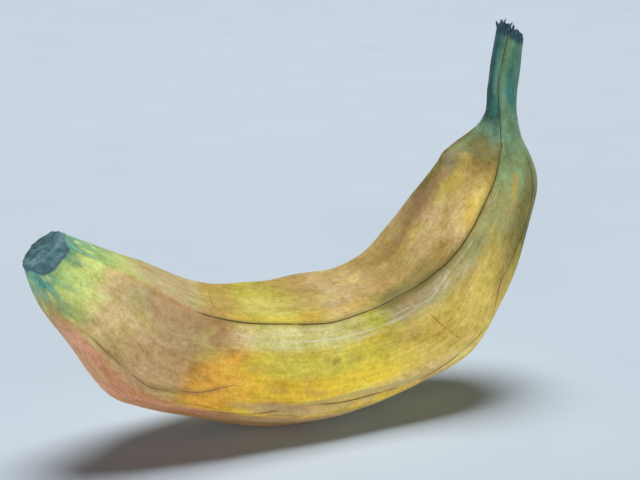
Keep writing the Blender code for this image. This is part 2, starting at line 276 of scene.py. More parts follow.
# Soft patches of colour, laid in this order: colour, distance along, angle round, reach along,
# reach round and strength.
PATCHES = (
    # The face above the upper ridge.
    ("rust", 50, 137, 7, 2.5, 0.50),
    ("amber", 60, 138, 8, 2.2, 0.55),
    ("bronze", 58, 136, 13, 1.7, 0.45),
    ("gold", 86, 138, 24, 2.4, 0.45),
    ("gold", 108, 140, 15, 3.0, 0.40),
    ("cream", 76, 158, 16, 6.0, 0.35),
    # Dark olive over the upper ridge in the inner bend: painted shade.
    ("olive", 125, 139, 20, 3.4, 0.90),
    ("olive", 130, 137, 8, 2.0, 0.50),
    ("bronze", 142, 134, 12, 3.0, 0.60),
    ("peach", 163, 133, 14, 5.5, 0.60),
    ("bronze", 90, 192, 26, 5.0, 0.40),
    ("rust", 146, 184, 16, 6.0, 0.45),
    ("rose", 150, 154, 17, 5.0, 0.70),
    ("plum", 150, 186, 24, 4.8, 0.85),
    ("yellow", 162, 126, 10, 3.0, 0.45),
    ("bronze", 176, 140, 6, 3.5, 0.50),
    ("plum", 165, 178, 12, 4.0, 0.75),
    ("sage", 182, 180, 11, 4.8, 0.85),
    ("plum", 178, 173, 8, 4.2, 0.55),
    ("ochre", 181, 155, 5, 2.4, 0.40),
    ("olive", 174, 192, 18, 3.4, 0.85),
    ("olive", 163, 187, 19, 2.6, 0.60),
    ("olive", 183, 188, 7, 2.6, 0.60),
    ("bronze", 138, 187, 13, 2.8, 0.60),
    ("fern", 188, 178, 5, 2.4, 0.50),
    ("fern", 8, 186, 9, 2.6, 0.55),
    # The front face, and the strip below the lower ridge.
    ("teal", 4, 122, 3.6, 2.6, 0.62),
    ("teal", 4, 46, 4.5, 3.0, 0.72),
    ("fern", 12, 52, 7.0, 1.5, 0.60),
    ("straw", 88, 102, 26, 4.5, 0.70),
    ("ochre", 118, 109, 10, 3.8, 0.65),
    ("yellow", 128, 97, 10, 3.6, 0.35),
    ("olive", 92, 103, 3, 1.2, 0.60),
    ("orange", 58, 78, 11, 5.5, 0.70),
    ("rust", 82, 68, 19, 2.2, 0.75),
    ("clay", 96, 66, 32, 2.4, 0.65),
    ("coral", 34, 18, 20, 6.0, 0.60),
    ("coral", 19, 34, 6, 3.0, 0.60),
    ("sage", 15, 62, 6, 2.2, 0.40),
    ("bronze", 28, 63, 9, 1.7, 0.45),
    ("mauve", 44, 112, 12, 5.0, 0.40),
    ("peach", 116, 69, 24, 2.4, 0.70),
    ("mauve", 98, 67, 32, 2.0, 0.45),
    ("bronze", 154, 65, 12, 2.8, 0.75),
    ("olive", 169, 57, 19, 5.4, 0.85),
    ("olive", 163, 121, 7, 2.0, 0.35),
    ("ochre", 178, 84, 10, 1.5, 0.80),
    ("bronze", 171, 82, 5, 1.3, 0.70),
    # The neck and the stem.
    ("mint", 190, 111, 5, 2.0, 0.35),
    ("teal", 206, 150, 14, 2.4, 0.95),
    ("deep_teal", 206, 182, 15, 2.4, 0.90),
    # Paler green spots each side of the crease near the top of the stem: painted highlights.
    ("leaf", 217, 148, 1.6, 0.8, 0.60),
    ("fern", 214, 122, 3.0, 1.0, 0.70),
    ("mint", 217, 103, 1.5, 0.9, 0.50),
    ("fern", 210, 138, 12, 1.6, 0.60),
    ("fern", 206, 126, 11, 1.0, 0.65),
    ("teal", 199, 107, 5, 1.0, 0.55),
    ("teal", 205, 86, 16, 1.8, 0.90),
    ("spruce", 206, 62, 16, 2.2, 0.60),
    # The back and the belly.
    ("tan", 40, -100, 24, 16, 0.70),
    ("clay", 96, -130, 22, 12, 0.60),
    ("gold", 84, -60, 26, 15, 0.60),
    ("yellow", 118, -96, 24, 13, 0.60),
    ("rust", 60, -20, 18, 10, 0.40),
    # Reddish brown with painted shade on the underside of the belly.
    ("rust", 72, 28, 20, 5.0, 0.60),
    ("bronze", 150, -60, 20, 10, 0.50),
    ("tan", 146, -140, 22, 12, 0.60),
)
# Shares of a patch's reach at which it has gone and at which it is full.
PATCH_EDGE = (1.35, 0.45)
# Lines drawn on the skin, in this order: the ridge, line or scratch, its tint, the half widths at
# which it is full and gone, where it starts and ends along the fruit, how softly, its strength, and
# the values of a noise between which it comes in. None is a line without breaks.
DRAWN_LINES = (
    # Two broken ivory lines under the upper ridge: painted highlights.
    ("pale_line", "ivory", 0.05, 0.40, 56, 106, 5, 0.42, (0.40, 0.58)),
    ("pale_line", "ivory", 0.05, 0.40, 134, 172, 6, 0.45, (0.40, 0.58)),
    # A greyed soft line beside the lower ridge: a painted highlight, toned down.
    ("soft_line", "mauve", 0.20, 1.00, 72, 118, 6, 0.60, None),
    ("upper_ridge", "olive", 0.10, 1.30, 46, 184, 6, 0.48, None),
    # A broad olive band on the upper ridge in the inner bend: painted shade.
    ("upper_ridge", "olive", 0.20, 2.60, 112, 142, 9, 0.85, None),
    # A soft plum band along the lower line: painted shade.
    ("lower_line", "plum", 0.20, 1.50, 22, 58, 5, 0.38, None),
    ("upper_ridge", "rust", 0.10, 1.30, 16, 42, 5, 0.50, None),
    ("belly_line", "rust", 0.10, 1.30, 60, 104, 6, 0.40, None),
    ("lower_line", "rust", 0.05, 0.34, 24, 61, 6, 0.80, (0.34, 0.52)),
    ("lower_line", "umber", 0.05, 0.34, 24, 61, 6, 0.40, (0.34, 0.52)),
    ("any_ridge", "umber", 0.05, 0.45, 16, 178, 10, 0.40, (0.46, 0.66)),
    ("upper_ridge", "umber", 0.05, 0.26, 44, 208, 3, 0.93, (0.26, 0.44)),
    ("upper_ridge", "umber", 0.05, 0.26, 210, 240, 1, 0.85, None),
    ("belly_line", "umber", 0.05, 0.28, 56, 186, 3, 0.75, (0.32, 0.52)),
    ("first_scratch", "umber", 0.05, 0.28, 0, 220, 3, 0.60, (0.30, 0.50)),
    ("second_scratch", "umber", 0.05, 0.28, 0, 220, 3, 0.60, (0.30, 0.50)),
)
# How far noise moves the colours: wavelength, and reach along, across and over the fruit.
DRIFTS = ((16, (8, 3.5, 3.5)), (3.2, (3.6, 1.4, 1.4)), (0.9, (1.8, 0.9, 0.9)))
# Mottles, and last the streaks: stretch, wavelength, roughness and strength.
MOTTLES = (
    (0.5, 10.0, 0.5, 0.70),
    (0.6, 3.8, 0.5, 0.55),
    (0.7, 1.6, 0.5, 0.60),
    (1.0, 0.8, 0.6, 0.65),
    (0.08, 0.9, 0.6, 0.45),
)
# How much of a mottle red, green and blue each take.
MOTTLE_TINGE = (0.85, 1.0, 1.8)

# The torn strands: rings and sides of each, the times that their row goes round the cut, the shares
# of its radius at which they stand in turn, and how far those and the places round it are jogged.
STRAND_RINGS = 12
STRAND_SIDES = 8
STRAND_TURNS = 3
STRAND_SHARES = (0.80, 0.80, 0.25)
SHARE_JOG = (-0.12, 0.14)
PLACE_JOG = (-0.3, 0.3)
# Length of a strand's root in the stem, how far it fans out for each millimetre from the middle,
# how far it bends aside, and how much it is flattened and tapered.
STRAND_ROOT = 1.6
STRAND_FAN = 0.055
STRAND_BEND = 0.22
STRAND_FLATNESS = 0.6
STRAND_TAPER = 0.96

# The floor in metres: radius of its first ring and of its level part, radius and height of its
# wall, and how far it lies under the fruit. Then its sides, and the rings of its level part and of
# its curve.
FIRST_RADIUS = 0.02
LEVEL_RADIUS = 2.1
WALL_RADIUS = 2.6
WALL_HEIGHT = 0.7
FLOOR_GAP = 0.0002
FLOOR_SIDES = 128
LEVEL_RINGS = 30
CURVE_RINGS = 40

# Turn, climb, distance, size and power of the lamp overhead, and name, turn, climb and power of
# each lamp at the sides.
KEY = (146, 81, 3.60, 2.00, 140.0)
FILLS = (
    ("front_fill", -48, 4, 0.87),
    ("right_fill", 24, 4, 0.70),
    ("back_fill", 112, 4, 0.28),
    ("left_fill", 200, 4, 0.28),
)
KEY_COLOUR = (1.0, 0.99, 0.97)
FILL_COLOUR = (1.0, 0.99, 0.98)
FILL_WIDTH = 8
FILL_DISTANCE = 1.5
AIR_COLOUR = (0.90, 0.95, 1.0, 1.0)
AIR_STRENGTH = 0.01
SENSOR_WIDTH = 36
CLIP_START = 0.01


def smooth_curve(pairs, at):
    """A cubic through the pairs, with the mean slope of its two neighbours at each of them."""
    known, values = np.array(pairs, dtype=float).T
    slopes = np.gradient(values, known)
    at = np.asarray(at, dtype=float)
    left = np.clip(np.searchsorted(known, at, side="right") - 1, 0, len(known) - 2)
    gap = known[left + 1] - known[left]
    t = (at - known[left]) / gap
    return (
        values[left] * (1 + 2 * t) * (1 - t) ** 2
        + values[left + 1] * t**2 * (3 - 2 * t)
        + gap * slopes[left] * t * (1 - t) ** 2
        - gap * slopes[left + 1] * t**2 * (1 - t)
    )


def ease(low, high, at):
    """0 at low, 1 at high and the smooth step 3t^2 - 2t^3 between them."""
    t = np.clip((at - low) / (high - low), 0, 1)
    return t * t * (3 - 2 * t)


def waves(points, kind):
    """A sum of plane sine waves in random directions, between about plus and minus its height.

    Each wave is sin(2 pi (direction . point) / wavelength + phase), with wavelengths drawn
    evenly between the shortest and the longest, and the sum is divided by sqrt(count).
    """
    stretch, shortest, longest, count, seed, height = WAVES[kind]
    draw = np.random.default_rng(seed)
    way = draw.normal(size=(count, 3))
    way /= np.linalg.norm(way, axis=1, keepdims=True)
    turns = way / draw.uniform(shortest, longest, (count, 1))
    phase = draw.uniform(0, 2 * math.pi, count)
    swings = np.sin(2 * math.pi * (points * stretch) @ turns.T + phase)
    return swings.sum(axis=-1) / math.sqrt(count) * height


def circle(angles):
    """The unit circle at each angle, in the plane where z is 0."""
    return np.stack([np.cos(angles), np.sin(angles), 0 * angles], -1)


def on_belly(angles):
    """((1 + cos angle) / 2)^4, which is 1 on the outer side of the bend."""
    return ((1 + np.cos(angles)) / 2) ** 4


def ring_distances():
    """Distances of the rings, packed closer at the tip and from the neck on.

    The running sum of rings per millimetre is divided into equal steps.
    """
    fine = np.linspace(0, LENGTH, RING_SAMPLES)
    near_an_end = np.maximum(ease(12, 5, fine), ease(NECK_FROM - 6, NECK_FROM + 4, fine))
    density = BODY_RINGS + (END_RINGS - BODY_RINGS) * near_an_end
    total = np.concatenate([[0], np.cumsum((density[1:] + density[:-1]) / 2 * np.diff(fine))])
    return np.interp(np.linspace(0, total[-1], round(total[-1]) + 1), total, fine)


def midline(distances):
    """Middle point, tangent and outward normal at each distance, all in the XZ plane.

    The middle is the running sum of the cosine and sine of the climb.
    """
    fine = np.linspace(0, LENGTH, MIDLINE_SAMPLES)
    climb = np.radians(smooth_curve(CLIMB, fine))
    between = (climb[1:] + climb[:-1]) / 2
    run = np.concatenate([[0], np.cumsum(np.cos(between)) * fine[1]])
    rise = np.concatenate([[0], np.cumsum(np.sin(between)) * fine[1]])
    angle = np.interp(distances, fine, climb)
    zero = np.zeros_like(distances)
    middle = np.interp(distances, fine, run), zero, np.interp(distances, fine, rise)
    tangent = np.cos(angle), zero, np.sin(angle)
    outward = np.sin(angle), zero, -np.cos(angle)
    return [np.stack(parts, 1) for parts in (middle, tangent, outward)]


def ridge_angles(distances):
    """Angles of the five ridges on each ring, with the first one repeated a full turn on."""
    tip, middle, stem = np.radians([RIDGES_AT_TIP, RIDGES_AT_MIDDLE, RIDGES_AT_STEM])
    to_middle = ease(0, MIDDLE, distances)[:, None]
    to_stem = ease(TWIST_FROM, TWIST_TO, distances)[:, None]
    ridges = tip + (middle - tip) * to_middle + (stem - middle) * to_stem
    return np.concatenate([ridges, ridges[:, :1] + 2 * math.pi], axis=1)


def section_shape(angles, ridges, squareness):
    """Radius of a rounded pentagon at each angle, as a share of its mean radius.

    Each side is cos(angle - side middle) / cos(half side) from ridge to ridge, and the sum of
    their powers blends the five into one curve. The belly is blended more.
    """
    power = squareness[:, None]
    power = power + (np.minimum(power, BELLY_SQUARENESS) - power) * on_belly(angles)
    side_middle = (ridges[:, None, 1:] + ridges[:, None, :-1]) / 2
    side_half = (ridges[:, None, 1:] - ridges[:, None, :-1]) / 2
    reach = np.maximum(np.cos(angles[..., None] - side_middle) / np.cos(side_half), 1e-6)
    radius = (reach ** power[..., None]).sum(axis=2) ** (-1 / power)
    return radius / radius.mean(axis=1, keepdims=True)


def wrapped(angles):
    """Angles brought to between -pi and pi."""
    return (angles + math.pi) % (2 * math.pi) - math.pi


class SkinGrid:
    """The skin without its caps, as arrays of ring and place on the ring.

    points are the surface, unbent is the same surface with its midline straightened along X,
    and over_ridge holds the signed distance round the ring from each of the five ridges.
    """

    def __init__(self):
        self.distances = ring_distances()
        along = self.distances[:, None]
        outer, inner, half_width = (
            smooth_curve(sizes, along) for sizes in (OUTER_DEPTH, INNER_DEPTH, HALF_WIDTH)
        )
        half_depth = (outer + inner) / 2
        ridges = ridge_angles(self.distances)
        share = np.arange(STEPS_PER_FACE) / STEPS_PER_FACE
        spread = ridges[:, :-1, None] + np.diff(ridges, axis=1)[..., None] * share
        self.angles = spread.reshape(len(ridges), -1)
        to_body = ease(0, TIP_ENDS, self.distances)
        to_stem = ease(NECK_FROM, NECK_TO, self.distances)
        squareness = TIP_SQUARENESS + (BODY_SQUARENESS - TIP_SQUARENESS) * to_body
        squareness += (STEM_SQUARENESS - BODY_SQUARENESS) * to_stem
        shape = section_shape(self.angles, ridges, squareness)
        self.radius = (half_depth + half_width) / 2
        turn = wrapped(self.angles[..., None] - ridges[:, None, :-1])
        self.over_ridge = turn * self.radius[..., None]
        self.over_ridge[..., UPPER_RIDGE] = self.beyond(RIDGE_LINE)

        middle, self.tangent, outward = midline(self.distances)
        middle = middle + outward * (outer - inner) / 2
        deep = shape * half_depth * np.cos(self.angles)
        wide = shape * half_width * np.sin(self.angles)
        slant = TIP_SLANT * ease(SLANT_LENGTH, 0, along)
        slant = slant - STEM_SLANT * ease(LENGTH - SLANT_LENGTH, LENGTH, along)
        side = np.array([0.0, -1.0, 0.0])
        self.points = (
            middle[:, None]
            + deep[..., None] * outward[:, None]
            + wide[..., None] * side
            + (slant * np.cos(self.angles))[..., None] * self.tangent[:, None]
        )
        self.unbent = np.stack([np.broadcast_to(along, deep.shape), deep, wide], axis=-1)

    def beyond(self, line):
        """Signed distance round the ring from a line given as distances and angles."""
        held = np.clip(self.distances, line[0][0], line[-1][0])
        turn = wrapped(self.angles - np.radians(smooth_curve(line, held))[:, None])
        return turn * self.radius

    def past(self, line):
        """Signed distance along the fruit from a line given as angles and distances."""
        around = np.degrees(self.angles)
        held = np.clip(around, line[0][0], line[-1][0])
        gap = self.distances[:, None] - smooth_curve(line, held)
        return gap + np.where(gap < 0, -1, 1) * np.abs(around - held)

    def normals(self):
        """Unit normals: the step along the fruit crossed with the step round it."""
        ahead = np.gradient(self.points, axis=0)
        round_it = np.roll(self.points, -1, axis=1) - np.roll(self.points, 1, axis=1)
        normal = np.cross(ahead, round_it)
        return normal / np.linalg.norm(normal, axis=-1, keepdims=True)


def skin_relief(grid, form):
    """How far the skin stands out from its plain form.

    Crests are bells exp(-(gap / width)^2) on the five ridges. Slow and quick waves make the
    faces uneven, dents are soft hollows, the neck has flutes cos(11 angle), a crease runs up
    the stem beside the upper ridge, and both ends are rough.
    """
    along = grid.distances[:, None]
    on_stem = ease(*STEM_RELIEF, along)
    on_body = ease(*BODY_RELIEF, along) * (1 - on_stem)
    gap = np.abs(grid.over_ridge).min(axis=-1)
    crest = form.crest_height * np.exp(-((gap / form.crest_width) ** 2))
    crest = crest * (0.75 + waves(grid.unbent, "crest"))
    relief = crest * on_body * (1 - 0.7 * on_belly(grid.angles))
    faces = waves(grid.unbent, "slow") + waves(grid.unbent, "quick")
    relief = relief + form.wave_height * faces * on_body
    for place, angle, reach, depth in DENTS:
        offset = (grid.unbent - unbent_point(place, angle)) * DENT_STRETCH
        relief = relief - depth * np.exp(-((np.linalg.norm(offset, axis=-1) / reach) ** 2))

    flutes = np.cos(FLUTES * grid.angles + 0.6 * np.sin(along / 7))
    relief = relief + form.flute_depth * flutes * ease(*NECK_RELIEF, along)
    crease = np.exp(-((grid.over_ridge[..., UPPER_RIDGE] / CREASE_WIDTH) ** 2))
    relief = relief - form.crease_depth * crease * on_stem
    relief = relief + waves(grid.unbent, "stem") * on_stem
    return relief + waves(grid.unbent, "tip") * ease(*ROUGH_TIP, along)


def unbent_point(along, around):
    """The point of the straightened surface at a distance along and an angle round."""
    depth = (smooth_curve(OUTER_DEPTH, along) + smooth_curve(INNER_DEPTH, along)) / 2
    width = smooth_curve(HALF_WIDTH, along)
    turn = math.radians(around)
    return np.array([along, depth * math.cos(turn), width * math.sin(turn)])


def scar_lumps(angles, shares):
    """Creases that run in to the middle of the scar, with low lumps over them."""
    rim = circle(angles)
    share = shares[:, None]
    creases = waves(rim + share[..., None] * (0, 0, 0.3), "scar_creases") * share * (1 - share) * 4
    return creases + waves(share[..., None] * rim, "scar_lumps")


def cut_lumps(angles, shares):
    """A broken surface of short fibres."""
    return waves(shares[:, None, None] * circle(angles), "cut_lumps")


def cap(grid, end, count, profile, lumps):
    """Rings that close an end, from the rim inward, bent and straightened.

    Each ring is the rim drawn in to its middle by its share, and moved outward by the profile's
    height there plus the lumps, which fade out at the rim. The end is 0 at the scar and -1 at
    the cut.
    """
    shares = np.sin(np.linspace(0, math.pi / 2, count + 2))[-2:0:-1]
    faded = lumps(grid.angles[end], shares) * np.clip((1 - shares) * 6, 0, 1)[:, None]
    height = smooth_curve(profile, shares)[:, None] + faded
    outward = height if end else -height
    centre = grid.points[end].mean(axis=0)
    rings = centre + (grid.points[end] - centre) * shares[:, None, None]
    straight = grid.unbent[end] * shares[:, None, None]
    straight[..., 0] = grid.distances[end] + outward
    return rings + outward[..., None] * grid.tangent[end], straight


def whole_skin(form):
    """Every ring of the fruit from the middle of the scar to the middle of the cut.

    Gives the points, the straightened points, and the distances from the ridges and the lines.
    Under the belly, a height z becomes (z + sqrt(z^2 + edge^2)) / 2 - edge / 2, at least 0.
    """
    grid = SkinGrid()
    plain = grid.points
    grid.points = plain + skin_relief(grid, form)[..., None] * grid.normals()
    jag = np.abs(waves(grid.unbent, "tear")) - 0.4
    torn = form.tear_height * jag * ease(LENGTH - TEAR_LENGTH, LENGTH, grid.distances[:, None])
    grid.points = grid.points + torn[..., None] * grid.tangent[:, None]

    scar, straight_scar = cap(grid, 0, SCAR_RINGS, SCAR_PROFILE, scar_lumps)
    cut, straight_cut = cap(grid, -1, CUT_RINGS, CUT_PROFILE, cut_lumps)
    unbent = np.concatenate([straight_scar[::-1], grid.unbent, straight_cut])
    points = np.concatenate([scar[::-1], grid.points, cut]) + rest_move(plain, grid.tangent)
    rise = points[..., 2]
    points[..., 2] = (rise + np.sqrt(rise**2 + REST_EDGE**2)) / 2 - REST_EDGE / 2
    points[..., 2] = np.maximum(points[..., 2], 0)

    gaps = {
        "upper_ridge": grid.over_ridge[..., UPPER_RIDGE],
        "lower_ridge": grid.over_ridge[..., LOWER_RIDGE],
        "any_ridge": np.abs(grid.over_ridge).min(axis=-1),
    }
    gaps.update((name, grid.beyond(line)) for name, line in LINES_ALONG.items())
    gaps.update((name, grid.past(line)) for name, line in LINES_ACROSS.items())
    caps = ((SCAR_RINGS, CUT_RINGS), (0, 0))
    return points, unbent, {name: np.pad(rows, caps, "edge") for name, rows in gaps.items()}


def rest_move(plain, tangent):
    """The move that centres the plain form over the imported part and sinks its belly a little."""
    centre = plain[0].mean(axis=0)
    shares, heights = np.array(SCAR_PROFILE).T
    scar = centre + (plain[0] - centre) * shares[:, None, None]
    scar = scar - heights[:, None, None] * tangent[0]
    low = np.minimum(plain.min(axis=(0, 1)), scar.min(axis=(0, 1)))
    high = np.maximum(plain.max(axis=(0, 1)), scar.max(axis=(0, 1)))
    box_low, box_high = (np.array(corner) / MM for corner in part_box(NODE))
    move = (box_low + box_high - low - high) / 2
    move[2] = box_low[2] - REST_TRIM - low[2]
    return move


def tube_faces(rings, count, closed=True):
    """Quads between rings of equal count, and fans to the poles that follow the last ring.

    The first ring always has a pole, and the last one has a pole if the tube is closed.
    """
    ring, step = np.meshgrid(np.arange(rings - 1), np.arange(count), indexing="ij")
    lower = ring * count + step
    following = ring * count + (step + 1) % count
    faces = np.stack([lower, lower + count, following + count, following], -1).reshape(-1, 4)
    place = np.arange(count)
    onward = (place + 1) % count
    pole = np.full(count, rings * count)
    fans = [np.stack([place, onward, pole], -1)]
    if closed:
        last = (rings - 1) * count
        fans.append(np.stack([last + onward, last + place, pole + 1], -1))
    return faces, np.concatenate(fans)


def mesh_object(name, points, faces, material):
    """A smooth-shaded mesh object from points in millimetres, placed in its mesh."""
    mesh = bpy.data.meshes.new(name)
    mesh.from_pydata((points * MM).tolist(), [], faces)
    mesh.validate()
    mesh.shade_smooth()
    mesh.materials.append(material)
    piece = bpy.data.objects.new(name, mesh)
    bpy.context.scene.collection.objects.link(piece)
    return piece


def store(mesh, name, kind, values):
    """Keep one number, or one vector, for each vertex of a mesh."""
    field = "vector" if kind == "FLOAT_VECTOR" else "value"
    layer = mesh.attributes.new(name, kind, "POINT")
    layer.data.foreach_set(field, np.ascontiguousarray(values, dtype=np.float32).ravel())


def with_poles(rows):
    """The rows flattened, followed by the mean of the first row and the mean of the last."""
    rows = np.asarray(rows, dtype=float)
    flat = rows.reshape((-1,) + rows.shape[2:])
    return np.concatenate([flat, rows[:1].mean(axis=1), rows[-1:].mean(axis=1)])


class Signal:
    """One output in a node tree. Arithmetic on it adds Math nodes and gives another Signal."""

    def __init__(self, tree, socket=None):
        self.tree = tree
        self.socket = socket

    def make(self, kind, settings=None, sockets=None, output=0):
        """Add any node: its kind, then its settings, then values or Signals for its sockets."""
        node = self.tree.nodes.new(kind)
        for name, value in (settings or {}).items():
            if name == "stops":
                fill_ramp(node.color_ramp, value)
            else:
                setattr(node, name, value)
        for name, value in (sockets or {}).items():
            if isinstance(value, Signal):
                self.tree.links.new(value.socket, node.inputs[name])
            else:
                node.inputs[name].default_value = value
        return Signal(self.tree, node.outputs[output])

    def math(self, operation, *values):
        return self.make("ShaderNodeMath", {"operation": operation}, dict(enumerate(values)))

    def __add__(self, other):
        return self.math("ADD", self, other)

    __radd__ = __add__

    def __sub__(self, other):
        return self.math("SUBTRACT", self, other)

    def __rsub__(self, other):
        return self.math("SUBTRACT", other, self)

    def __mul__(self, other):
        return self.math("MULTIPLY", self, other)

    __rmul__ = __mul__

    def __truediv__(self, other):
        return self.math("DIVIDE", self, other)

    def __abs__(self):
        return self.math("ABSOLUTE", self)

    def step(self, low, high, top=1.0):
        """0 at low, top at high and a smooth step between them. Low may be the greater one."""
        settings = {"interpolation_type": "SMOOTHSTEP"}
        return self.make("ShaderNodeMapRange", settings, {0: self, 1: low, 2: high, 4: top})

    def within(self, start, end, soft, top=1.0):
        """Top between start and end, fading to 0 over soft on either side."""
        return self.step(start - soft, start + soft, top) * self.step(end + soft, end - soft)

    def vector(self, operation, *values, output=0):
        """A Vector Math node on this vector and the values that follow."""
        sockets = dict(enumerate((self,) + values))
        return self.make("ShaderNodeVectorMath", {"operation": operation}, sockets, output)

    def dimmed(self, factor):
        """This colour times a number."""
        return self.make("ShaderNodeVectorMath", {"operation": "SCALE"}, {0: self, 3: factor})

    def noise(self, wavelength, detail=2.0, roughness=0.5, output=0):
        """Noise over this vector, 0 to 1, or three such values as a vector from output 1."""
        size = {"Vector": self, "Scale": 1 / wavelength}
        look = {"Detail": detail, "Roughness": roughness}
        return self.make("ShaderNodeTexNoise", {}, size | look, output)

    def grain(self, stretch, wavelength, detail=2.0, roughness=0.5):
        """Noise over this vector, drawn out along x where the stretch is under 1."""
        return self.vector("MULTIPLY", (stretch, 1, 1)).noise(wavelength, detail, roughness)

    def wander(self, wavelength, reach):
        """This vector moved by noise, by up to about half the reach on each axis."""
        drift = self.noise(wavelength, 1.0, output=1).vector("SUBTRACT", (0.5, 0.5, 0.5))
        return drift.vector("MULTIPLY_ADD", reach, self)

    def part(self, axis):
        """One coordinate of this vector: 0 for x, 1 for y and 2 for z."""
        return self.make("ShaderNodeSeparateXYZ", {}, {0: self}, axis)

    def ramp(self, *stops):
        """The colour at this place between stops, which are pairs of place and colour."""
        return self.make("ShaderNodeValToRGB", {"stops": stops}, {0: self})

    def under(self, colour, share):
        """This colour with another one over it, by a share from 0 to 1."""
        settings = {"data_type": "RGBA", "clamp_result": True}
        return self.make("ShaderNodeMix", settings, {0: share, 6: self, 7: colour}, output=2)


def fill_ramp(ramp, stops):
    """Set a colour ramp's stops from pairs of place and colour."""
    while len(ramp.elements) < len(stops):
        ramp.elements.new(1.0)
    for element, (place, colour) in zip(ramp.elements, stops):
        element.position = place
        element.color = colour


def new_material(name):
    """A material with only its output and a shader, and a Signal to start its nodes from."""
    material = bpy.data.materials.new(name)
    material.use_nodes = True
    tree = material.node_tree
    shader = tree.nodes["Principled BSDF"]
    return material, shader, Signal(tree)


def connect(shader, name, signal):
    signal.tree.links.new(signal.socket, shader.inputs[name])


def opaque(colour):
    return (colour[0], colour[1], colour[2], 1.0)


def patch_mask(place, along, around, reach_along, reach_round, strength):
    """Strength inside a ball round a point of the skin, stretched along it, with soft edges."""
    scale = 1 / np.array([reach_along, reach_round, reach_round])
    centre = -unbent_point(along, around) * scale
    offset = place.vector("MULTIPLY_ADD", tuple(scale), tuple(centre))
    return offset.vector("LENGTH", output=1).step(*PATCH_EDGE, strength)


def skin_colour(place, gaps, tints):
    """The four lanes side by side, with soft patches over them.

    Everything is read at a place that noise has moved a little, so no edge is straight. The
    front lane starts later under the upper ridge, because its first bands lean back there.
    """
    drifting = place
    for wavelength, reach in DRIFTS:
        drifting = drifting.wander(wavelength, reach)
    along = drifting.part(0)
    unsteady = (place.wander(7, (3, 3, 3)).noise(4.0, 3.0, 0.6) - 0.5) * EDGE_DRIFT
    upper = gaps["upper_ridge"]
    lower = gaps["lower_ridge"]
    leaning = {"front": along - upper.step(*FRONT_LEAN)}
    lanes = {}
    for name, bands in LANES.items():
        stops = ((at / LENGTH, tints[tint]) for tint, *places in bands for at in places)
        lanes[name] = (leaning.get(name, along) / LENGTH).ramp(*stops)
    below = (lower + unsteady).step(*UNDER_IN) * lower.step(*UNDER_OUT)
    beside = (upper + unsteady).step(*BAND_IN) * upper.step(*BAND_OUT)
    above = upper.step(*TOP_IN) * upper.step(*TOP_OUT)
    top = lanes["top"].dimmed(TOP_SHADE + along.step(*TOP_RISE))
    colour = lanes["front"].under(lanes["under"], below).under(lanes["band"], beside)
    colour = colour.under(top, above)
    for name, distance, angle, reach_along, reach_round, strength in PATCHES:
        share = patch_mask(drifting, distance, angle, reach_along, reach_round, strength)
        colour = colour.under(tints[name], share)
    return colour


def skin_grain(colour, place, gaps, tints):
    """Warm and greenish drifts of hue, mottles at four scales, streaks along the fruit, and a
    painted highlight of pale streaks under the upper ridge.
    """
    along = place.part(0)
    on_body = along.within(12, 176, 6)
    drift = place.grain(0.55, 6.0, 2.0, 0.55)
    colour = colour.under(tints["rust"], on_body * drift.step(0.53, 0.68, 0.32))
    colour = colour.under(tints["straw"], on_body * drift.step(0.47, 0.32, 0.22))
    rays = place.grain(0.07, 1.9, 1.5)
    colour = colour.under(tints["mint"], rays.step(0.52, 0.66, 0.50) * along.step(16, 5))
    colour = colour.under(tints["lemon"], rays.step(0.48, 0.35, 0.50) * along.step(21, 9))
    shade = sum(
        (place.grain(stretch, wavelength, 2.0, roughness) - 0.5) * strength
        for stretch, wavelength, roughness, strength in MOTTLES
    )
    tinge = {axis: 1.0 + shade * share for axis, share in enumerate(MOTTLE_TINGE)}
    colour = colour.vector("MULTIPLY", place.make("ShaderNodeCombineXYZ", {}, tinge))
    # Pale streaks just under the upper ridge, in the middle of the fruit: a painted highlight.
    fibres = place.grain(0.05, 0.7, 2.0, 0.6)
    beside = gaps["upper_ridge"].within(-6.5, -1.2, 0.8) * along.within(62, 156, 10)
    return colour.under(tints["chalk"], beside * fibres.step(0.53, 0.64, 0.36))


def skin_lines(colour, place, gaps, tints):
    """Thin dark lines on the ridges and the stem's crease, and pale or soft ones beside them.

    The pale lines and the soft line beside the lower ridge are painted highlights; the broad olive
    band on the upper ridge in the inner bend and the soft plum band on the lower line are painted
    shade.
    """
    along = place.part(0)
    breaks = place.grain(0.24, 2.2)
    wobble = (place.grain(0.22, 3.0) - 0.5) * 0.5
    for name, tint, thin, wide, start, end, soft, strength, broken in DRAWN_LINES:
        share = abs(gaps[name] + wobble).step(wide, thin) * along.within(start, end, soft, strength)
        if broken:
            share = share * breaks.step(*broken)
        colour = colour.under(tints[tint], share)
    return colour


